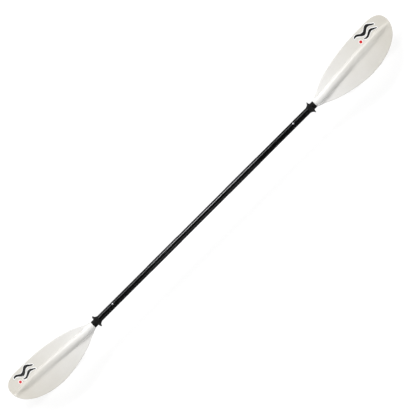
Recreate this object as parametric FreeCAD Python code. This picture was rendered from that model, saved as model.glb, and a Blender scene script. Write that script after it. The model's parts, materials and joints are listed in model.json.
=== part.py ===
"""Four-piece kayak paddle, in millimetres.

The paddle lies flat. X runs along the shaft, Y across the blades towards their fuller edge, and Z up.
The origin is on the ground, straight below the shaft's axis at the paddle's mid-length. Pieces called
right lie at positive X. The left blade section is the right one's mirror image.
"""

import FreeCAD, Part
import math
import os
from FreeCAD import Rotation, Vector

# Whole paddle
OVERALL_LENGTH = 2180.0
DRIP_RING_RADIUS = 28.0
AXIS_Z = DRIP_RING_RADIUS

# Shaft tubes
TUBE_RADIUS = 14.0
TUBE_WALL = 1.2
TUBE_BORE = TUBE_RADIUS - TUBE_WALL
TUBE_CHAMFER = 0.6
CENTRE_SEAM_X = -16.0
BLADE_SEAM_X = 533.5

# Ferrules, which join the tubes from inside
FERRULE_GAP = 0.1
FERRULE_RADIUS = TUBE_BORE - FERRULE_GAP
FERRULE_BORE = 10.8
CENTRE_FERRULE_FREE = 90.0
CENTRE_FERRULE_HELD = 60.0
BLADE_FERRULE_FREE = 65.0
BLADE_FERRULE_HELD = 50.0
FERRULE_CHAMFER = 0.8

# O-rings in the ferrules' grooves
ORING_GAP = 0.05
ORING_SECTION = 1.2
ORING_GROOVE_WIDTH = 1.9
CENTRE_ORING_X = CENTRE_SEAM_X - 12.0
BLADE_ORING_X = BLADE_SEAM_X - 4.0

# Snap buttons and their V-springs, measured outwards from the tube's axis
BUTTON_RADIUS = 4.0
BUTTON_HOLE_RADIUS = 4.2
DRILL_START = FERRULE_BORE - 3.0
DRILL_END = TUBE_RADIUS + 2.0
BUTTON_TOP = 16.5
BUTTON_DOME = 1.6
BUTTON_FLANGE_RADIUS = 5.0
BUTTON_FLANGE_LOW = 7.7
BUTTON_FLANGE_HIGH = 8.5
CENTRE_BUTTON_X = CENTRE_SEAM_X - 30.0
CENTRE_BUTTON_ANGLE = 180.0
BLADE_BUTTON_X = BLADE_SEAM_X - 12.0
BLADE_BUTTON_ANGLE = -20.0
FEATHER_ANGLE = 60.0
SPRING_WIDTH = 6.0
SPRING_THICKNESS = 0.8
SPRING_PATH = [(-5.0, 7.2), (6.0, 7.2), (36.0, -1.0), (-2.0, -9.2)]

# Grip sleeves
GRIP_INNER_X = 139.0
GRIP_LENGTH = 175.0
GRIP_GAP = 0.1
GRIP_WALL = 0.4

# Foam float plugs
PLUG_GAP = 0.2
PLUG_RADIUS = TUBE_BORE - PLUG_GAP
PLUG_LENGTH = 30.0
SHAFT_PLUG_X = 400.0
STUB_PLUG_X = 607.0

# Drip ring: its inner end, then places measured along X from there towards the blade, with their radii
RING_INNER_X = 604.0
RING_GAP = 0.1
RING_BORE = TUBE_RADIUS + RING_GAP
RING_LIP = (0.0, 15.0)
RING_INNER_WAIST = (8.0, 18.4)
RING_RIM = (15.6, DRIP_RING_RADIUS)
RING_RIM_ROUND = 1.7
RING_OUTER_WAIST = (18.4, 19.5)
RING_HUB_START = (21.5, 15.1)
RING_BEAD_START = (31.6, 15.1)
RING_BEAD_TOP = (33.1, 15.9)
RING_END = (34.4, 15.0)

# Blade, measured along X from its neck's end, towards the tip
BLADE_ROOT_X = 639.5
BLADE_LENGTH = OVERALL_LENGTH / 2 - BLADE_ROOT_X
BLADE_THICKNESS = 2.8
TIP_DROP = 25.5
DISH_DEPTH = 2.5
DISH_HALF_WIDTH = 85.0
SPINE_BEND_AT = 60.0
SPINE_BEND_LENGTH = 360.0
SPINE_TIP_Y = 24.5
NECK_RADIUS = 15.6
SOCKET_GAP = 0.2
SOCKET_RADIUS = TUBE_RADIUS + SOCKET_GAP
SOCKET_DEPTH = 60.0
STUB_END_GAP = 2.0
STUB_END_X = BLADE_ROOT_X + SOCKET_DEPTH - STUB_END_GAP

# The slabs that the plate and the decal are cut from
SLAB_MARGIN = 10.0
SLAB_HALF_WIDTH = 100.0
SLAB_STATIONS = 10
SLAB_ROWS = 8

# The blade's edge: distance from the neck's end, and distance across from the shaft's axis
UPPER_EDGE = [
    (0, NECK_RADIUS), (32, 27), (62, 42), (132, 65), (212, 80.5), (302, 88.3), (367, 89.3), (415, 84.5)
]
TIP_EDGE = [(441.5, 67), (BLADE_LENGTH, 38), (441.5, 2)]
LOWER_EDGE = [
    (407, -36), (352, -63), (292, -76.5), (232, -79), (152, -68), (62, -41.5), (32, -28), (0, -NECK_RADIUS)
]

# The spine's sections: distance from the neck's end, half width, height over the blade's middle surface,
# and how far the section's middle lies from the crest towards the slimmer edge
SPINE_SECTIONS = [
    (0, NECK_RADIUS, NECK_RADIUS, 0),
    (30, NECK_RADIUS, NECK_RADIUS, 0),
    (60, 17.0, 15.8, 0),
    (110, 18.5, 13.2, 1.5),
    (180, 19.0, 11.0, 4.0),
    (270, 18.0, 9.4, 5.0),
    (350, 14.5, 8.2, 4.8),
    (425, 9.0, 4.4, 1.0),
]
# The same for the fairing under the neck
FAIRING_SECTIONS = [
    (0, NECK_RADIUS, NECK_RADIUS, 0),
    (30, NECK_RADIUS, NECK_RADIUS, 0),
    (60, 16.4, 15.8, 0),
    (100, 13.0, 10.0, 0),
    (150, 7.0, 2.2, 0),
]

# Decal on the blade, from its lower left corner: a white base film under black waves and a red dot
DECAL_X = BLADE_ROOT_X + 292.5
DECAL_Y = 36.0
DECAL_LENGTH = 112.0
DECAL_FILM = 0.15
DECAL_LIFT = 0.03
DECAL_BORDER = 2.6
WAVE_LENGTH = 62.0
WAVE_STEPS = 12
WAVE_END_SHARE = 0.35
# Each wave: first and last position along, middle height, swing, half thickness
DECAL_WAVES = [(6.0, 106.0, 33.0, 7.5, 7.5), (34.0, 104.0, 11.0, 5.5, 5.5)]
# The dot: position along, height, radius
DECAL_DOT = (16.0, 10.0, 6.5)


def rod(x0, x1, radius):
    """A round bar on the shaft's axis."""
    return Part.makeCylinder(radius, x1 - x0, Vector(x0, 0, AXIS_Z), Vector(1, 0, 0))


def tube(x0, x1, outer, inner):
    """A round tube on the shaft's axis."""
    return rod(x0, x1, outer).cut(rod(x0 - 1, x1 + 1, inner))


def shaft_tube(x0, x1):
    """A length of shaft tube, with its outer edges broken so that the seams show as a fine groove."""
    outside = rod(x0, x1, TUBE_RADIUS)
    ends = [edge for edge in outside.Edges if len(edge.Vertexes) == 1]
    return outside.makeChamfer(TUBE_CHAMFER, ends).cut(rod(x0 - 1, x1 + 1, TUBE_BORE))


def mirrored(shape):
    """The left-hand twin of a right-hand piece."""
    return shape.mirror(Vector(0, 0, 0), Vector(1, 0, 0))


def turned(shape, x, angle):
    """Puts a shape made around the Z axis at x on the shaft's axis, turned about that axis."""
    shape.rotate(Vector(0, 0, 0), Vector(1, 0, 0), angle)
    shape.translate(Vector(x, 0, AXIS_Z))
    return shape


def button_hole(x, angle):
    """The drill that makes one button hole, from near the axis out through the tube's wall."""
    drill = Part.makeCylinder(BUTTON_HOLE_RADIUS, DRILL_END - DRILL_START, Vector(0, 0, DRILL_START))
    return turned(drill, x, angle)


def snap_button(x, angle):
    """A domed button with a flange at its foot that keeps it in the tube."""
    flange = Part.makeCylinder(
        BUTTON_FLANGE_RADIUS, BUTTON_FLANGE_HIGH - BUTTON_FLANGE_LOW, Vector(0, 0, BUTTON_FLANGE_LOW)
    )
    stem = Part.makeCylinder(BUTTON_RADIUS, BUTTON_TOP - BUTTON_FLANGE_LOW, Vector(0, 0, BUTTON_FLANGE_LOW))
    top_edge = max(stem.Edges, key=lambda edge: edge.CenterOfMass.z)
    stem = stem.makeFillet(BUTTON_DOME, [top_edge])
    return turned(flange.fuse(stem).removeSplitter(), x, angle)


def spring_leg(start, end):
    """One straight leg of the V-spring, with round ends where it bends."""
    leg_length = math.dist(start, end)
    slope = math.degrees(math.atan2(end[1] - start[1], end[0] - start[0]))
    half = SPRING_THICKNESS / 2
    leg = Part.makeBox(leg_length, SPRING_WIDTH, SPRING_THICKNESS, Vector(0, -SPRING_WIDTH / 2, -half))
    bend = Part.makeCylinder(half, SPRING_WIDTH, Vector(leg_length, -SPRING_WIDTH / 2, 0), Vector(0, 1, 0))
    leg = leg.fuse(bend)
    leg.rotate(Vector(0, 0, 0), Vector(0, 1, 0), -slope)
    leg.translate(Vector(start[0], 0, start[1]))
    return leg


def v_spring(x, angle):
    """The bent strip that pushes the button out from the far side of the ferrule's bore."""
    legs = [spring_leg(a, b) for a, b in zip(SPRING_PATH, SPRING_PATH[1:])]
    spring = legs[0].fuse(legs[1:]).removeSplitter()
    return turned(spring, x, angle)


def oring_groove(x):
    """The ring of metal that the O-ring's groove takes out of a ferrule."""
    floor = TUBE_BORE - ORING_SECTION - 2 * ORING_GAP
    half = ORING_GROOVE_WIDTH / 2
    return tube(x - half, x + half, TUBE_RADIUS, floor)


def oring(x):
    """A round-section rubber ring, just clear of the groove's floor and of the tube's bore."""
    middle = TUBE_BORE - ORING_GAP - ORING_SECTION / 2
    return Part.makeTorus(middle, ORING_SECTION / 2, Vector(x, 0, AXIS_Z), Vector(1, 0, 0))


def ferrule(x0, x1, oring_x, button_x, button_angle):
    """An inner tube with chamfered ends, an O-ring groove and a button hole."""
    outside = rod(x0, x1, FERRULE_RADIUS)
    ends = [edge for edge in outside.Edges if len(edge.Vertexes) == 1]
    outside = outside.makeChamfer(FERRULE_CHAMFER, ends)
    shape = outside.cut(rod(x0 - 1, x1 + 1, FERRULE_BORE))
    return shape.cut([oring_groove(oring_x), button_hole(button_x, button_angle)])


def left_half_shaft():
    """The left tube takes the centre ferrule, and has a button hole for each feather angle."""
    shape = shaft_tube(-BLADE_SEAM_X, CENTRE_SEAM_X)
    turns = (-FEATHER_ANGLE, 0, FEATHER_ANGLE)
    holes = [button_hole(CENTRE_BUTTON_X, CENTRE_BUTTON_ANGLE + turn) for turn in turns]
    holes.append(mirrored(button_hole(BLADE_BUTTON_X, BLADE_BUTTON_ANGLE)))
    return shape.cut(holes)


def right_half_shaft():
    """The right tube holds the centre ferrule, and has a button hole for its blade section."""
    shape = shaft_tube(CENTRE_SEAM_X, BLADE_SEAM_X)
    return shape.cut(button_hole(BLADE_BUTTON_X, BLADE_BUTTON_ANGLE))


def centre_ferrule():
    """Held in the right tube, free in the left one."""
    x0 = CENTRE_SEAM_X - CENTRE_FERRULE_FREE
    x1 = CENTRE_SEAM_X + CENTRE_FERRULE_HELD
    return ferrule(x0, x1, CENTRE_ORING_X, CENTRE_BUTTON_X, CENTRE_BUTTON_ANGLE)


def blade_ferrule():
    """Held in the blade section's stub tube, free in the half shaft."""
    x0 = BLADE_SEAM_X - BLADE_FERRULE_FREE
    x1 = BLADE_SEAM_X + BLADE_FERRULE_HELD
    return ferrule(x0, x1, BLADE_ORING_X, BLADE_BUTTON_X, BLADE_BUTTON_ANGLE)


def grip_sleeve():
    """A thin sleeve shrunk onto the tube where the hand holds it."""
    inner = TUBE_RADIUS + GRIP_GAP
    return tube(GRIP_INNER_X, GRIP_INNER_X + GRIP_LENGTH, inner + GRIP_WALL, inner)


def arc_through(*points):
    """An arc edge through three points in the XZ plane, given as position along X and radius."""
    return Part.Arc(*[Vector(x, 0, radius) for x, radius in points]).toShape()


def line_through(start, end):
    """A straight edge in the XZ plane."""
    return Part.makeLine(Vector(start[0], 0, start[1]), Vector(end[0], 0, end[1]))


def drip_ring():
    """A rubber disc, thick at its foot and thin at its rim, on a hub with a rounded bead at its end."""
    rim_at, rim_radius = RING_RIM
    rim_low = rim_radius - RING_RIM_ROUND
    rim_in = (rim_at - RING_RIM_ROUND, rim_low)
    rim_out = (rim_at + RING_RIM_ROUND, rim_low)
    bore_start = (RING_LIP[0], RING_BORE)
    bore_end = (RING_END[0], RING_BORE)
    edges = [
        line_through(bore_start, RING_LIP),
        arc_through(RING_LIP, RING_INNER_WAIST, rim_in),
        arc_through(rim_in, RING_RIM, rim_out),
        arc_through(rim_out, RING_OUTER_WAIST, RING_HUB_START),
        line_through(RING_HUB_START, RING_BEAD_START),
        arc_through(RING_BEAD_START, RING_BEAD_TOP, RING_END),
        line_through(RING_END, bore_end),
        line_through(bore_end, bore_start),
    ]
    profile = Part.Face(Part.Wire(edges))
    ring = profile.revolve(Vector(0, 0, 0), Vector(1, 0, 0), 360)
    ring.translate(Vector(RING_INNER_X, 0, AXIS_Z))
    return ring


def spine_y(d):
    """How far across the crest of the spine lies: on the axis at the neck, then curving to the fuller edge."""
    share = min(max((d - SPINE_BEND_AT) / SPINE_BEND_LENGTH, 0.0), 1.0)
    return SPINE_TIP_Y * math.sin(math.pi / 2 * share)


def middle_z(d, y):
    """Height of the blade's middle surface, which drops towards the tip and towards both edges."""
    drop = TIP_DROP * (max(d, 0.0) / BLADE_LENGTH) ** 2
    dish = DISH_DEPTH * ((y - spine_y(d)) / DISH_HALF_WIDTH) ** 2
    return AXIS_Z - drop - dish


def dished_slab(offset, thickness):
    """A slab that follows the blade's middle surface, from offset above it, wider than the blade."""
    span = BLADE_LENGTH + 2 * SLAB_MARGIN
    stations = [-SLAB_MARGIN + span * i / SLAB_STATIONS for i in range(SLAB_STATIONS + 1)]
    across = [-SLAB_HALF_WIDTH + 2 * SLAB_HALF_WIDTH * i / SLAB_ROWS for i in range(SLAB_ROWS + 1)]
    rows = [[Vector(BLADE_ROOT_X + d, y, middle_z(d, y) + offset) for y in across] for d in stations]
    surface = Part.BSplineSurface()
    surface.interpolate(rows)
    return surface.toShape().extrude(Vector(0, 0, thickness))


def plan_prism(points, z0, z1):
    """An upright prism whose plan is a smooth curve through the points, closed by a straight line."""
    curve = Part.BSplineCurve()
    curve.interpolate([Vector(x, y, z0) for x, y in points])
    closing = Part.makeLine(curve.EndPoint, curve.StartPoint)
    face = Part.Face(Part.Wire([curve.toShape(), closing]))
    return face.extrude(Vector(0, 0, z1 - z0))


def section(d, half_width, height, aside):
    """An upright ellipse across the blade, centred on its middle surface."""
    centre_y = spine_y(d) - aside
    major, minor = max(half_width, height), min(half_width, height)
    ellipse = Part.Ellipse(Vector(0, 0, 0), major, minor).toShape()
    ellipse.Placement.Rotation = Rotation(Vector(0, 1, 0), Vector(0, 0, 1), Vector(1, 0, 0))
    ellipse.translate(Vector(BLADE_ROOT_X + d, centre_y, middle_z(d, centre_y)))
    return Part.Wire([ellipse])


def swelling(sections):
    """A smooth solid through the sections."""
    return Part.makeLoft([section(*values) for values in sections], True)


def blade():
    """A dished plate with a raised spine, a fairing under its neck, and a socket for the stub tube."""
    outline = [(BLADE_ROOT_X + d, y) for d, y in UPPER_EDGE + TIP_EDGE + LOWER_EDGE]
    tall = 2 * AXIS_Z
    plate = dished_slab(-BLADE_THICKNESS / 2, BLADE_THICKNESS).common(plan_prism(outline, -AXIS_Z, tall))
    ridge = swelling(SPINE_SECTIONS)
    ridge = ridge.common(dished_slab(-BLADE_THICKNESS / 4, tall))
    fairing = swelling(FAIRING_SECTIONS)
    fairing = fairing.common(dished_slab(-tall, tall))
    whole = plate.fuse(ridge).fuse(fairing)
    socket = rod(BLADE_ROOT_X - 1, BLADE_ROOT_X + SOCKET_DEPTH, SOCKET_RADIUS)
    return whole.cut(socket)


def wave_prism(first, last, height, swing, half_thickness, border, place):
    """An upright prism whose plan is one wave of the decal: a sine with blunt tapered ends."""
    points = []
    for i in range(WAVE_STEPS + 1):
        share = i / WAVE_STEPS
        along = first + (last - first) * share
        middle = DECAL_Y + height + swing * math.sin(2 * math.pi * along / WAVE_LENGTH)
        fullness = WAVE_END_SHARE + (1 - WAVE_END_SHARE) * math.sin(math.pi * share)
        stretched = along + border * (2 * share - 1)
        points.append((place(stretched), middle, half_thickness * fullness + border))
    upper, lower = Part.BSplineCurve(), Part.BSplineCurve()
    upper.interpolate([Vector(x, y + half, 0) for x, y, half in points])
    lower.interpolate([Vector(x, y - half, 0) for x, y, half in points])
    first_end = Part.makeLine(lower.StartPoint, upper.StartPoint)
    last_end = Part.makeLine(upper.EndPoint, lower.EndPoint)
    outline = Part.Wire([first_end, upper.toShape(), last_end, lower.toShape()])
    return Part.Face(outline).extrude(Vector(0, 0, 2 * AXIS_Z))


def dot_prism(border, place):
    """An upright cylinder whose plan is the decal's dot."""
    along, height, radius = DECAL_DOT
    centre = Vector(place(along), DECAL_Y + height, 0)
    return Part.makeCylinder(radius + border, 2 * AXIS_Z, centre)


def film(prisms, lift):
    """The prisms' share of a film that follows the blade's upper surface."""
    skin = dished_slab(BLADE_THICKNESS / 2 + lift, DECAL_FILM)
    return Part.makeCompound([solid for prism in prisms for solid in prism.common(skin).Solids])


def decal(backwards):
    """The decal's three layers on the right blade. They run backwards where they will be mirrored."""

    def place(along):
        return DECAL_X + (DECAL_LENGTH - along if backwards else along)

    grown = [wave_prism(*wave, DECAL_BORDER, place) for wave in DECAL_WAVES]
    base = grown[0].fuse(grown[1:] + [dot_prism(DECAL_BORDER, place)])
    waves = [wave_prism(*wave, 0, place) for wave in DECAL_WAVES]
    print_lift = 2 * DECAL_LIFT + DECAL_FILM
    return {
        "decal_base": film([base], DECAL_LIFT),
        "decal_waves": film(waves, print_lift),
        "decal_dot": film([dot_prism(0, place)], print_lift),
    }


def main():
    os.makedirs("parts", exist_ok=True)
    parts = {
        "shaft_left": left_half_shaft(),
        "shaft_right": right_half_shaft(),
        "centre_ferrule": centre_ferrule(),
        "centre_oring": oring(CENTRE_ORING_X),
        "centre_button": snap_button(CENTRE_BUTTON_X, CENTRE_BUTTON_ANGLE),
        "centre_spring": v_spring(CENTRE_BUTTON_X, CENTRE_BUTTON_ANGLE),
    }
    right_pieces = {
        "grip_sleeve": grip_sleeve(),
        "shaft_plug": rod(SHAFT_PLUG_X, SHAFT_PLUG_X + PLUG_LENGTH, PLUG_RADIUS),
        "stub_tube": shaft_tube(BLADE_SEAM_X, STUB_END_X),
        "stub_plug": rod(STUB_PLUG_X, STUB_PLUG_X + PLUG_LENGTH, PLUG_RADIUS),
        "blade_ferrule": blade_ferrule(),
        "blade_oring": oring(BLADE_ORING_X),
        "blade_button": snap_button(BLADE_BUTTON_X, BLADE_BUTTON_ANGLE),
        "blade_spring": v_spring(BLADE_BUTTON_X, BLADE_BUTTON_ANGLE),
        "drip_ring": drip_ring(),
        "blade": blade(),
    }
    for name, shape in right_pieces.items():
        parts["right_" + name] = shape
        parts["left_" + name] = mirrored(shape)
    for name, shape in decal(False).items():
        parts["right_" + name] = shape
    for name, shape in decal(True).items():
        parts["left_" + name] = mirrored(shape)
    for name, shape in parts.items():
        shape.exportStep("parts/" + name + ".step")


main()
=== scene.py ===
"""Looks for the four-piece kayak paddle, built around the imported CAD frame, in metres and in its axes."""

import json
import math

import bmesh
import bpy
import numpy as np
from mathutils import Matrix, Vector

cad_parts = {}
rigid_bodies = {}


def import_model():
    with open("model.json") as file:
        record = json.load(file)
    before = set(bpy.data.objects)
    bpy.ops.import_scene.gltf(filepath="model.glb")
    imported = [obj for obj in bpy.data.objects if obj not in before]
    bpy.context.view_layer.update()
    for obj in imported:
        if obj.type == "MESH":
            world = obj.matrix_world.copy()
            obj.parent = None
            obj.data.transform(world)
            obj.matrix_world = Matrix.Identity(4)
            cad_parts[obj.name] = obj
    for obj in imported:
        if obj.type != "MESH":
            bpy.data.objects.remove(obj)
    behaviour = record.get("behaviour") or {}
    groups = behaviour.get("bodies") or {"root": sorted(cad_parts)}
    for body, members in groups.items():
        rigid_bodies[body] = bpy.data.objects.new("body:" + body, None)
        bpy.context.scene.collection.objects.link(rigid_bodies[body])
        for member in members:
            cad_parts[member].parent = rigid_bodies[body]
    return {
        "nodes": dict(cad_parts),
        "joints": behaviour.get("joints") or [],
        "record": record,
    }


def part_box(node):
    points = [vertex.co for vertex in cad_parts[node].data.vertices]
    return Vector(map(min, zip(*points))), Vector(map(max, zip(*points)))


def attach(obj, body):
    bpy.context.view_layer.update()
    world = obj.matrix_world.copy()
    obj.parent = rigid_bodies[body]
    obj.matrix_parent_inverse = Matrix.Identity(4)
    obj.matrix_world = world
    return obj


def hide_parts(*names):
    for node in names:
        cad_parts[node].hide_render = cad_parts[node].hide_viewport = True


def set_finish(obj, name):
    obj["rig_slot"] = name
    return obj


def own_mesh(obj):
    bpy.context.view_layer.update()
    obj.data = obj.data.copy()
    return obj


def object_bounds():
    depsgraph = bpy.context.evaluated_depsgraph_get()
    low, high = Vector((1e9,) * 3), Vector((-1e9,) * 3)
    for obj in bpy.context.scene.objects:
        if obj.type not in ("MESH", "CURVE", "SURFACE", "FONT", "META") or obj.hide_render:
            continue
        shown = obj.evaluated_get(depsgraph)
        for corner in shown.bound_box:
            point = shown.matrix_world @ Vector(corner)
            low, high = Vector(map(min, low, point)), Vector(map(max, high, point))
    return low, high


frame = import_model()
CAD_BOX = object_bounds()
MM = 0.001
SIDES = {"left": -1, "right": 1}

# Sizes read from the frame
STUB_LOW, STUB_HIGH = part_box("right_stub_tube")
BLADE_LOW, BLADE_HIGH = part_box("right_blade")
AXIS_Z = (STUB_LOW.z + STUB_HIGH.z) / 2
ROOT_X = BLADE_LOW.x
BLADE_LENGTH = BLADE_HIGH.x - BLADE_LOW.x
TIP_X = BLADE_HIGH.x

# The blade's design. Its outline, dish and crest are the CAD blade's
THICKNESS = 2.8 * MM
TIP_DROP = 25.5 * MM
DISH_DEPTH = 2.5 * MM
DISH_HALF_WIDTH = 85.0 * MM
SPINE_BEND_AT = 60.0 * MM
SPINE_BEND_LENGTH = 360.0 * MM
SPINE_TIP_Y = 24.5 * MM
NECK_RADIUS = 15.6 * MM
NECK_ROUND = 0.9 * MM
BORE_RADIUS = 14.2 * MM
BORE_CHAMFER = 0.4 * MM
BORE_DEPTH = 60.0 * MM
RIM_ROUND = 1.7 * MM
FILLET = 2.4 * MM
FILLET_REACH = 9.0 * MM

# The blade's edge in millimetres, from the neck round the tip and back.
# Each point is its distance from the neck's end, and how far across the blade it lies
UPPER_EDGE = [(0, 15.6), (32, 27), (62, 42), (132, 65), (212, 80.5), (302, 88.3), (367, 89.3), (415, 84.5)]
TIP_EDGE = [(441.5, 67), (450.5, 38), (441.5, 2)]
LOWER_EDGE = [
    (407, -36), (352, -63), (292, -76.5), (232, -79), (152, -68), (62, -41.5), (32, -28), (0, -15.6),
]

# The spine on the upper face, in millimetres by distance from the neck's end
SPINE_AT = [0, 30, 62, 80, 137, 198, 259, 320, 382, 423, 446]
SPINE_HEIGHT = [14.2, 14.2, 14.0, 13.2, 11.0, 9.5, 8.3, 7.4, 6.4, 3.2, 0]
# Each side's section is a half ellipse where its power is 0.5, and a bell where it is 2
UPPER_WIDTH = [15.6, 16, 17, 17.5, 17, 14.5, 13.5, 11.5, 11, 8, 6]
UPPER_POWER = [0.5, 0.5, 0.5, 0.55, 0.7, 0.8, 0.85, 0.9, 1.0, 1.5, 2]
LOWER_WIDTH = [15.6, 15.8, 16.6, 17.8, 23, 25.5, 26.5, 25.5, 22, 16, 12]
LOWER_POWER = [0.5, 0.5, 0.55, 0.7, 1.15, 1.35, 1.45, 1.5, 1.55, 1.7, 2]

# The fairing under the neck, the same way
FAIRING_AT = [0, 62, 95, 130, 170, 210, 450.5]
FAIRING_HEIGHT = [14.2, 14.2, 10.0, 5.0, 1.2, 0, 0]
FAIRING_WIDTH = [15.6, 16.6, 17.5, 16.0, 13.0, 10.0, 10.0]
FAIRING_POWER = [0.5, 0.5, 0.8, 1.2, 1.6, 2.0, 2.0]

# How fine the blade's mesh is
OUTLINE_POINTS = 2400
STATIONS = 132
# Rows of points on each part of a face: the plate's two halves and the ridge's two flanks
ZONE_ROWS = 26
# The loops that round the neck's end over, in degrees
NECK_TURNS = [90, 60, 30]
# Points closer than this are one point
SAME_POINT = 1e-7
# Stands in for a fillet of nothing, so that nothing is divided by zero
NO_FILLET = 1e-9
# Edges sharper than this stay sharp
SHARP_ANGLE = math.radians(35)

# Looks. Most of a noise's values lie in this range
NOISE_SPAN = (0.3, 0.7)
# A metal's weak rim, as on the dark shaft
WEAK_RIM = (0.12, 0.12, 0.12, 1)

# The floor lies low enough for a blade to turn over it, and the wall stands just inside its edge
FLOOR_DROP = 62.0 * MM
FLOOR_HALF_WIDTH = 20
FLOOR_GLOW = 0.68
WALL_SEGMENTS = 96
WALL_RADIUS = 19.9
WALL_HEIGHT = 8
WALL_MIDDLE_Z = 3.9

# Softboxes: name, watts, where each stands, its two sides, and the point that it faces
SOFTBOXES = [
    ("key", 96, (-0.27, 3.96, 2.7), (0.8, 1.2), (0, 0, 0)),
    ("key_right", 82, (1.65, 3.96, 2.7), (1.5, 1.2), (0.8, 0, 0)),
    ("key_left", 66, (-2.05, 3.96, 2.7), (1.5, 1.2), (-0.8, 0, 0)),
    ("fill", 4, (-0.24, -1.65, 1.65), (0.77, 0.5), (0, 0, 0)),
    ("fill_right", 8, (1.3, -1.6, 1.72), (0.95, 0.6), (0.8, 0, 0)),
    ("fill_left", 8, (-1.55, -1.6, 1.72), (0.95, 0.6), (-0.8, 0, 0)),
    ("end_right", 180, (5, 0, 4), (0.6, 3), (0, 0, 0)),
    ("end_left", 165, (-5, 0, 4), (0.6, 3), (0, 0, 0)),
]
ROOM_GLOW = 0.04

# The camera: how far off it is, how far it leans off the vertical, and what it takes in
CAMERA_DISTANCE = 6.0
CAMERA_LEAN = math.radians(3.5)
VIEW_WIDTH = 1.6985
VIEW_MIDDLE = Vector((0.0335, 0.007, AXIS_Z))


# The blade's mesh

def spline(points, count):
    """Evenly spread points on the natural cubic spline through the given ones."""
    knots = np.array(points, float)
    steps = np.linalg.norm(np.diff(knots, axis=0), axis=1)
    at = np.concatenate([[0], np.cumsum(steps)])
    size = len(knots)
    matrix, right = np.eye(size), np.zeros((size, knots.shape[1]))
    for i in range(1, size - 1):
        before, after = steps[i - 1], steps[i]
        matrix[i, i - 1:i + 2] = before, 2 * (before + after), after
        right[i] = 6 * ((knots[i + 1] - knots[i]) / after - (knots[i] - knots[i - 1]) / before)
    bend = np.linalg.solve(matrix, right)
    wanted = np.linspace(0, at[-1], count)
    piece = np.clip(np.searchsorted(at, wanted) - 1, 0, size - 2)
    width = steps[piece][:, None]
    done, left = (wanted - at[piece])[:, None], (at[piece + 1] - wanted)[:, None]
    ends = bend[piece] * left**3 + bend[piece + 1] * done**3
    first = (knots[piece] / width - bend[piece] * width / 6) * left
    last = (knots[piece + 1] / width - bend[piece + 1] * width / 6) * done
    return ends / (6 * width) + first + last


def by_distance(d, at, values):
    """The value at distance d on a smooth curve through the listed ones that never overshoots them."""
    at = np.array(at, float) * MM
    values = np.array(values, float)
    i = np.clip(np.searchsorted(at, d, side="right") - 1, 0, len(at) - 2)
    secants = np.diff(values) / np.diff(at)
    before, after = secants[:-1], secants[1:]
    total = np.where(before + after == 0, 1, before + after)
    inner = np.where(before * after > 0, 2 * before * after / total, 0)
    slopes = np.concatenate([[secants[0]], inner, [secants[-1]]])
    width = at[i + 1] - at[i]
    s = np.clip((d - at[i]) / width, 0, 1)
    rise = values[i] * (2 * s**3 - 3 * s**2 + 1) + values[i + 1] * (3 * s**2 - 2 * s**3)
    return rise + width * (slopes[i] * (s**3 - 2 * s**2 + s) + slopes[i + 1] * (s**3 - s**2))


def spine_y(d):
    """How far across the blade the spine's crest lies."""
    return SPINE_TIP_Y * np.sin(math.pi / 2 * np.clip((d - SPINE_BEND_AT) / SPINE_BEND_LENGTH, 0, 1))


def middle_z(d, y):
    """Height of the blade's middle surface."""
    drop = TIP_DROP * (np.clip(d, 0, None) / BLADE_LENGTH) ** 2
    return AXIS_Z - drop - DISH_DEPTH * ((y - spine_y(d)) / DISH_HALF_WIDTH) ** 2


def edge_distance(points, line):
    """Each point's distance from the outline."""
    nearest = np.empty(len(points))
    a, b = line[:-1], line[1:]
    run = b - a
    length2 = (run**2).sum(1)
    for i, p in enumerate(points):
        share = np.clip(((p - a) * run).sum(1) / length2, 0, 1)
        gap = a + run * share[:, None] - p
        nearest[i] = math.sqrt((gap**2).sum(1).min())
    return nearest


def swelling(q, height, power, fillet):
    """A ridge's height at q, which is -1 to 1 across it, with a fillet where it meets the plate."""
    outside = np.clip(q**2 - 1, 0, None)
    raw = height * (np.clip(1 - q**2, 0, None) ** power - outside)
    near = np.clip(fillet - np.abs(raw), 0, None)
    return np.clip(raw, 0, None) + near**2 / (4 * np.maximum(fillet, NO_FILLET))


def rows_across(low, crest, high, lower_width, upper_width):
    """Where the rows of points cross one face: one follows its ridge's crest, and one follows each foot."""
    low_foot, high_foot = np.clip([crest - lower_width, crest + upper_width], low, high)
    crest = min(max(crest, low), high)
    turn = np.linspace(0, math.pi / 2, ZONE_ROWS + 1)
    flank, plate = np.sin(turn), (1 - np.cos(2 * turn)) / 2
    return np.concatenate([
        low + (low_foot - low) * plate[:-1],
        crest + (low_foot - crest) * flank[:0:-1],
        crest + (high_foot - crest) * flank[:-1],
        high_foot + (high - high_foot) * plate,
    ])


def face_rows(d, low, high, line, widths, powers, height):
    """One face at distance d: where its rows cross, and how far each point stands off the middle surface."""
    crest = spine_y(d)
    y = rows_across(low, crest, high, *widths)
    rim = edge_distance(np.stack([np.full(len(y), d), y], 1), line)
    rim[0] = rim[-1] = 0
    half = THICKNESS / 2 * np.sqrt(1 - (1 - np.clip(rim / RIM_ROUND, 0, 1)) ** 2)
    fillet = FILLET * np.clip(rim / FILLET_REACH, 0, 1)
    width, power = (np.where(y > crest, upper, lower) for lower, upper in (widths, powers))
    return y, half + swelling((y - crest) / width, height, power, fillet)


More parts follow.
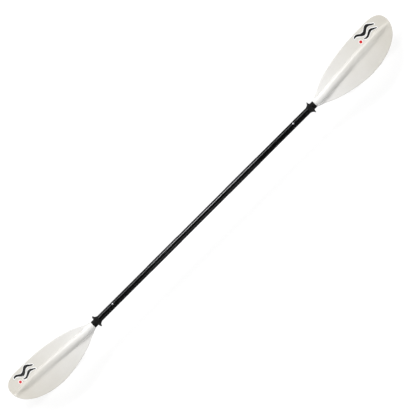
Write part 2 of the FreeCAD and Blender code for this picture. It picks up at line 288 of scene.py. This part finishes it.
def blade_station(d, low, high, line):
    """One closed loop round the blade at distance d: over the top from the lower edge, then back below."""
    top_widths = [by_distance(d, SPINE_AT, values) * MM for values in (LOWER_WIDTH, UPPER_WIDTH)]
    top_powers = [by_distance(d, SPINE_AT, values) for values in (LOWER_POWER, UPPER_POWER)]
    under_widths = [by_distance(d, FAIRING_AT, FAIRING_WIDTH) * MM] * 2
    under_powers = [by_distance(d, FAIRING_AT, FAIRING_POWER)] * 2
    spine_height = by_distance(d, SPINE_AT, SPINE_HEIGHT) * MM
    fairing_height = by_distance(d, FAIRING_AT, FAIRING_HEIGHT) * MM
    y, rise = face_rows(d, low, high, line, top_widths, top_powers, spine_height)
    top = np.stack([np.full(len(y), ROOT_X + d), y, middle_z(d, y) + rise], 1)
    y, rise = face_rows(d, low, high, line, under_widths, under_powers, fairing_height)
    under = np.stack([np.full(len(y), ROOT_X + d), y, middle_z(d, y) - rise], 1)
    return np.concatenate([top, under[-2:0:-1]])


def neck_rings(first):
    """The loops from the socket's floor out and over the neck's rounded end, up to the first station."""
    angles = np.arctan2(first[:, 2] - AXIS_Z, first[:, 1])
    profile = [(BORE_DEPTH, BORE_RADIUS), (BORE_CHAMFER, BORE_RADIUS), (0, BORE_RADIUS + BORE_CHAMFER)]
    for turn in np.radians(NECK_TURNS):
        inward = NECK_ROUND * (1 - math.cos(turn))
        profile.append((NECK_ROUND * (1 - math.sin(turn)), NECK_RADIUS - inward))
    return [
        np.stack([np.full(len(angles), ROOT_X + d), r * np.cos(angles), AXIS_Z + r * np.sin(angles)], 1)
        for d, r in profile
    ]


def loft(rings, sign):
    """A closed mesh through loops of equal counts, and a point at each end. sign -1 mirrors it across X."""
    mesh = bmesh.new()
    loops = [[mesh.verts.new((sign * x, y, z)) for x, y, z in ring] for ring in rings]
    for lower, upper in zip(loops, loops[1:]):
        for j in range(len(lower)):
            k = (j + 1) % len(lower)
            mesh.faces.new((lower[j], lower[k], upper[k], upper[j]))
    for loop, ring in ((loops[0], rings[0]), (loops[-1], rings[-1])):
        x, y, z = ring.mean(0)
        middle = mesh.verts.new((sign * x, y, z))
        for j in range(len(loop)):
            mesh.faces.new((loop[j], loop[(j + 1) % len(loop)], middle))
    bmesh.ops.remove_doubles(mesh, verts=mesh.verts[:], dist=SAME_POINT)
    bmesh.ops.recalc_face_normals(mesh, faces=mesh.faces[:])
    return mesh


def blade_rings():
    """Every loop of the right blade, from its socket's floor to its tip."""
    line = spline(np.array(UPPER_EDGE + TIP_EDGE + LOWER_EDGE) * MM, OUTLINE_POINTS)
    tip = int(np.argmax(line[:, 0]))
    upper, lower = line[:tip + 1], line[tip:][::-1]
    reach = line[tip, 0]
    turns = np.linspace(math.asin(NECK_ROUND / reach), math.pi / 2, STATIONS)
    stations = []
    for d in reach * np.sin(turns):
        low = np.interp(d, lower[:, 0], lower[:, 1])
        high = np.interp(d, upper[:, 0], upper[:, 1])
        stations.append(blade_station(d, low, high, line))
    return neck_rings(stations[0]) + stations


def finished(mesh, name):
    """An object from a bmesh, smooth but for its sharp edges."""
    data = bpy.data.meshes.new(name)
    mesh.to_mesh(data)
    mesh.free()
    data.shade_smooth()
    data.set_sharp_from_angle(angle=SHARP_ANGLE)
    piece = bpy.data.objects.new(name, data)
    bpy.context.scene.collection.objects.link(piece)
    return piece


def copied(node, name):
    """An object with a copy of a CAD node's mesh."""
    mesh = bmesh.new()
    mesh.from_mesh(frame["nodes"][node].data)
    return finished(mesh, name)


def add_blades():
    """Both blades, which stand for the plain CAD ones."""
    rings = blade_rings()
    blades = []
    for side, sign in SIDES.items():
        piece = finished(loft(rings, sign), side + "_blade_moulding")
        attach(piece, side + "_blade_section")
        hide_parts(side + "_blade")
        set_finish(piece, "blade_plastic")
        blades.append(piece)
    return blades


def add_springs():
    """The three V-springs, copied from their CAD nodes. The real springs close up as their buttons are
    pressed in; nothing here bends these.
    """
    springs = []
    for joint in frame["joints"]:
        if not joint["name"].endswith("button_press"):
            continue
        node = joint["name"].replace("button_press", "spring")
        piece = copied(node, node + "_strip")
        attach(piece, joint["parent"])
        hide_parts(node)
        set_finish(piece, "spring_steel")
        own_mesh(piece)
        springs.append(piece)
    return springs


# Materials

class Look:
    """A node material whose colour, roughness and relief come from procedural textures."""

    def __init__(self, name, **sockets):
        self.material = bpy.data.materials.new(name)
        self.material.use_nodes = True
        self.tree = self.material.node_tree
        self.shader = self.tree.nodes["Principled BSDF"]
        self.relief = None
        for socket, value in sockets.items():
            self.shader.inputs[socket.replace("_", " ")].default_value = value
        self.place = self.node("ShaderNodeTexCoord").outputs["Object"]

    def node(self, kind, **settings):
        made = self.tree.nodes.new(kind)
        for key, value in settings.items():
            setattr(made, key, value)
        return made

    def link(self, source, target):
        self.tree.links.new(source, target)

    def stretched(self, x, y, z):
        """Object coordinates in millimetres, stretched along an axis where its factor is small."""
        mapping = self.node("ShaderNodeMapping")
        mapping.inputs["Scale"].default_value = (1000 * x, 1000 * y, 1000 * z)
        self.link(self.place, mapping.inputs["Vector"])
        return mapping.outputs["Vector"]

    def noise(self, per_mm, detail=3.0, rough=0.5, stretch=(1, 1, 1), seed=0.0):
        """Noise with about per_mm features in a millimetre."""
        texture = self.node("ShaderNodeTexNoise", noise_dimensions="4D")
        texture.inputs["Scale"].default_value = per_mm
        texture.inputs["Detail"].default_value = detail
        texture.inputs["Roughness"].default_value = rough
        texture.inputs["W"].default_value = seed
        self.link(self.stretched(*stretch), texture.inputs["Vector"])
        return texture.outputs["Fac"]

    def cells(self, per_mm):
        """Distance to the middle of the nearest foam cell."""
        texture = self.node("ShaderNodeTexVoronoi")
        texture.inputs["Scale"].default_value = per_mm
        self.link(self.stretched(1, 1, 1), texture.inputs["Vector"])
        return texture.outputs["Distance"]

    def mapped(self, source, low, high, to_low, to_high):
        """source's stretch from low to high, spread over to_low to to_high."""
        spread = self.node("ShaderNodeMapRange")
        for socket, value in (
            ("From Min", low), ("From Max", high), ("To Min", to_low), ("To Max", to_high)
        ):
            spread.inputs[socket].default_value = value
        self.link(source, spread.inputs["Value"])
        return spread.outputs["Result"]

    def maths(self, operation, first, second):
        """Two values, or a value and a number, put together."""
        step = self.node("ShaderNodeMath", operation=operation)
        self.link(first, step.inputs[0])
        if isinstance(second, (int, float)):
            step.inputs[1].default_value = second
        else:
            self.link(second, step.inputs[1])
        return step.outputs["Value"]

    def mix(self, share, first, second):
        """A colour between two, which are colours or other sockets."""
        blend = self.node("ShaderNodeMix", data_type="RGBA")
        self.link(share, blend.inputs["Factor"])
        for socket, colour in ((blend.inputs[6], first), (blend.inputs[7], second)):
            if isinstance(colour, tuple):
                socket.default_value = (*colour, 1)
            else:
                self.link(colour, socket)
        return blend.outputs[2]

    def colour(self, socket):
        self.link(socket, self.shader.inputs["Base Color"])

    def roughness(self, socket):
        self.link(socket, self.shader.inputs["Roughness"])

    def bump(self, height, depth, strength):
        """Relief of that depth in metres, over any relief already there."""
        relief = self.node("ShaderNodeBump")
        relief.inputs["Distance"].default_value = depth
        relief.inputs["Strength"].default_value = strength
        self.link(height, relief.inputs["Height"])
        if self.relief:
            self.link(self.relief, relief.inputs["Normal"])
        self.relief = relief.outputs["Normal"]
        self.link(self.relief, self.shader.inputs["Normal"])


def shaft_look():
    """Black anodised drawn tube: fine draw lines along it, faint rubs, and a dark metal's satin gloss."""
    look = Look("shaft_black", Metallic=1.0, Specular_Tint=WEAK_RIM)
    lines = look.noise(2.0, detail=4, stretch=(0.01, 1, 1))
    rubs = look.noise(0.05, detail=5, rough=0.65, stretch=(0.25, 1, 1), seed=3)
    worn = look.mapped(rubs, 0.55, 0.8, 0.0, 1.0)
    look.colour(look.mix(worn, (0.034, 0.034, 0.035), (0.05, 0.05, 0.052)))
    gloss = look.mapped(lines, *NOISE_SPAN, 0.17, 0.24)
    look.roughness(look.maths("ADD", gloss, look.mapped(rubs, 0.4, 0.8, 0.0, 0.05)))
    look.bump(lines, 0.02 * MM, 0.35)
    return look.material


def grip_look():
    """Shrink-fit vinyl: a softer gloss than the tube's, no draw lines, and a faint ripple from shrinking."""
    look = Look("grip_vinyl", Metallic=1.0, Specular_Tint=WEAK_RIM)
    ripple = look.noise(0.12, detail=2, stretch=(1, 0.4, 0.4), seed=5)
    pores = look.noise(3.0, detail=2, seed=6)
    look.colour(look.mix(ripple, (0.038, 0.038, 0.039), (0.048, 0.048, 0.05)))
    look.roughness(look.mapped(pores, *NOISE_SPAN, 0.2, 0.27))
    look.bump(ripple, 0.05 * MM, 0.5)
    look.bump(pores, 0.01 * MM, 0.3)
    return look.material


def rubber_look(name, dark, light, gloss):
    """Moulded rubber: matt, with a fine skin texture and dusty patches."""
    look = Look(name, Specular_IOR_Level=0.12)
    skin = look.noise(2.2, detail=4, seed=8)
    dust = look.noise(0.09, detail=5, rough=0.6, seed=9)
    look.colour(look.mix(look.mapped(dust, 0.45, 0.75, 0.0, 1.0), dark, light))
    look.roughness(look.mapped(dust, *NOISE_SPAN, gloss, gloss + 0.15))
    look.bump(skin, 0.04 * MM, 0.6)
    return look.material


def metal_look(name, dark, light, gloss, stretch):
    """Bare metal with fine marks, drawn out along an axis where stretch is small."""
    look = Look(name, Metallic=1.0)
    marks = look.noise(3.0, detail=5, rough=0.6, stretch=stretch, seed=11)
    stains = look.noise(0.15, detail=3, seed=12)
    look.colour(look.mix(stains, dark, light))
    look.roughness(look.mapped(marks, *NOISE_SPAN, gloss, gloss + 0.16))
    look.bump(marks, 0.015 * MM, 0.5)
    return look.material


def foam_look():
    """Closed-cell foam."""
    look = Look("float_foam", Specular_IOR_Level=0.2)
    cells = look.cells(1.1)
    look.colour(look.mix(cells, (0.72, 0.71, 0.66), (0.5, 0.49, 0.45)))
    look.roughness(look.mapped(cells, 0.0, 1.0, 0.75, 0.95))
    look.bump(cells, 0.3 * MM, 0.8)
    return look.material


def vinyl_look(name, colour, faded):
    """Printed vinyl film: a faint orange peel, and a little fading."""
    look = Look(name, Specular_IOR_Level=0.4)
    fading = look.noise(0.08, detail=4, seed=14)
    peel = look.noise(1.4, detail=2, seed=15)
    look.colour(look.mix(look.mapped(fading, 0.4, 0.8, 0.0, 1.0), colour, faded))
    look.roughness(look.mapped(peel, *NOISE_SPAN, 0.28, 0.4))
    look.bump(peel, 0.02 * MM, 0.4)
    return look.material


def blade_look():
    """White moulded plastic: lightly scuffed, with a fine mould grain, and darker and yellower towards the
    tip, where the darkening is painted shade and the yellow tint is the plastic's own.
    """
    look = Look("blade_plastic", Specular_IOR_Level=0.4, IOR=1.49)
    parts = look.node("ShaderNodeSeparateXYZ")
    look.link(look.place, parts.inputs["Vector"])
    along_blade = look.maths("ABSOLUTE", parts.outputs["X"], 0.0)
    # Painted shade: the colour darkens from the neck to the tip, where the light falls off
    painted_tip_shade = look.mapped(along_blade, ROOT_X, TIP_X, 0.0, 1.0)
    clouds = look.noise(0.02, detail=4, rough=0.55, seed=17)
    tip_shade_and_clouds = look.maths("ADD", painted_tip_shade, look.mapped(clouds, *NOISE_SPAN, -0.07, 0.07))
    grain = look.noise(1.6, detail=3, seed=18)
    scuffs = look.noise(0.5, detail=6, rough=0.75, stretch=(1, 0.12, 0.12), seed=19)
    # White at the neck to a darker, yellower grey at the tip: the darkening is painted shade, the yellow
    # tint is the plastic's own
    plain = look.mix(tip_shade_and_clouds, (0.71, 0.705, 0.69), (0.55, 0.525, 0.47))
    scuffed = look.mapped(scuffs, 0.68, 0.8, 0.0, 0.35)
    look.colour(look.mix(scuffed, plain, (0.6, 0.58, 0.54)))
    satin = look.mapped(grain, *NOISE_SPAN, 0.26, 0.34)
    look.roughness(look.maths("ADD", satin, look.mapped(scuffs, 0.55, 0.8, 0.0, 0.15)))
    look.bump(grain, 0.02 * MM, 0.35)
    look.bump(clouds, 0.5 * MM, 0.25)
    return look.material


def dress(pieces):
    """Gives every CAD node and every new piece its material, and shades the nodes smooth."""
    drawn = (0.05, 1, 1)
    plain = (1, 1, 1)
    rolled = (0.1, 1, 0.1)
    looks = {
        "shaft_black": shaft_look(),
        "grip_vinyl": grip_look(),
        "ring_rubber": rubber_look("ring_rubber", (0.004, 0.004, 0.004), (0.009, 0.0085, 0.008), 0.55),
        "oring_rubber": rubber_look("oring_rubber", (0.008, 0.008, 0.008), (0.016, 0.016, 0.016), 0.4),
        "ferrule_alloy": metal_look("ferrule_alloy", (0.5, 0.51, 0.53), (0.62, 0.63, 0.65), 0.28, drawn),
        "button_steel": metal_look("button_steel", (0.4, 0.4, 0.42), (0.52, 0.52, 0.54), 0.24, plain),
        "spring_steel": metal_look("spring_steel", (0.38, 0.38, 0.4), (0.5, 0.5, 0.52), 0.22, rolled),
        "float_foam": foam_look(),
        "blade_plastic": blade_look(),
        "decal_white": vinyl_look("decal_white", (0.86, 0.86, 0.86), (0.8, 0.8, 0.78)),
        "decal_black": vinyl_look("decal_black", (0.004, 0.004, 0.004), (0.009, 0.009, 0.009)),
        "decal_red": vinyl_look("decal_red", (0.62, 0.012, 0.015), (0.5, 0.02, 0.02)),
    }
    for entry in frame["record"]["subparts"]:
        node = frame["nodes"][entry["node"]]
        node.data.shade_smooth()
        node.data.set_sharp_from_angle(angle=SHARP_ANGLE)
        node.data.materials.clear()
        node.data.materials.append(looks[entry["material_slot"]])
    for piece in pieces:
        piece.data.materials.clear()
        piece.data.materials.append(looks[piece["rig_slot"]])


# The floor, the light and the camera

def studio_floor():
    """A wide, pale and faintly glowing floor, some way under the paddle. The wall takes its paint."""
    plane = bmesh.new()
    bmesh.ops.create_grid(plane, x_segments=1, y_segments=1, size=FLOOR_HALF_WIDTH)
    floor = finished(plane, "floor")
    look = Look("floor_white", Specular_IOR_Level=0.0, Roughness=0.9, Emission_Strength=FLOOR_GLOW)
    look.colour(look.mix(look.noise(0.002, seed=21), (0.35, 0.35, 0.35), (0.37, 0.37, 0.37)))
    floor.data.materials.append(look.material)
    floor.location.z = CAD_BOX[0][2] - FLOOR_DROP
    return look.material


def studio_wall(paint):
    """A pale wall round the floor. It is only a background, so it neither lights nor shades the paddle."""
    ring = bmesh.new()
    bmesh.ops.create_cone(
        ring, segments=WALL_SEGMENTS, radius1=WALL_RADIUS, radius2=WALL_RADIUS, depth=WALL_HEIGHT
    )
    wall = finished(ring, "wall")
    wall.data.materials.append(paint)
    wall.location.z = WALL_MIDDLE_Z
    wall.visible_diffuse = wall.visible_glossy = wall.visible_transmission = wall.visible_shadow = False


def soft_light(name, watts, place, size, aim):
    """A rectangular softbox that faces a point."""
    data = bpy.data.lights.new(name, "AREA")
    data.shape = "RECTANGLE"
    data.size, data.size_y = size
    data.energy = watts
    light = bpy.data.objects.new(name, data)
    bpy.context.scene.collection.objects.link(light)
    light.location = place
    light.rotation_euler = (Vector(aim) - Vector(place)).to_track_quat("-Z", "Y").to_euler()


def studio_light():
    """Keys on the blades' fuller side, weak fills opposite, a box past each end, and an almost dark room."""
    for softbox in SOFTBOXES:
        soft_light(*softbox)
    world = bpy.data.worlds.new("room")
    world.use_nodes = True
    world.node_tree.nodes["Background"].inputs["Color"].default_value = (1, 1, 1, 1)
    world.node_tree.nodes["Background"].inputs["Strength"].default_value = ROOM_GLOW
    bpy.context.scene.world = world
    bpy.context.scene.view_settings.view_transform = "Standard"


def studio_camera():
    """Almost straight above, turned so that the paddle lies corner to corner, from nearer its right end."""
    data = bpy.data.cameras.new("camera")
    camera = bpy.data.objects.new("camera", data)
    bpy.context.scene.collection.objects.link(camera)
    away = Vector((math.sin(CAMERA_LEAN), 0, math.cos(CAMERA_LEAN)))
    up = Vector((1, 1, 0)).normalized()
    up = (up - away * up.dot(away)).normalized()
    side = up.cross(away)
    turned = Matrix([side, up, away]).transposed().to_4x4()
    camera.matrix_world = Matrix.Translation(VIEW_MIDDLE + away * CAMERA_DISTANCE) @ turned
    data.lens = data.sensor_width * CAMERA_DISTANCE / VIEW_WIDTH
    bpy.context.scene.camera = camera


studio_camera()
dress(add_blades() + add_springs())
studio_wall(studio_floor())
studio_light()
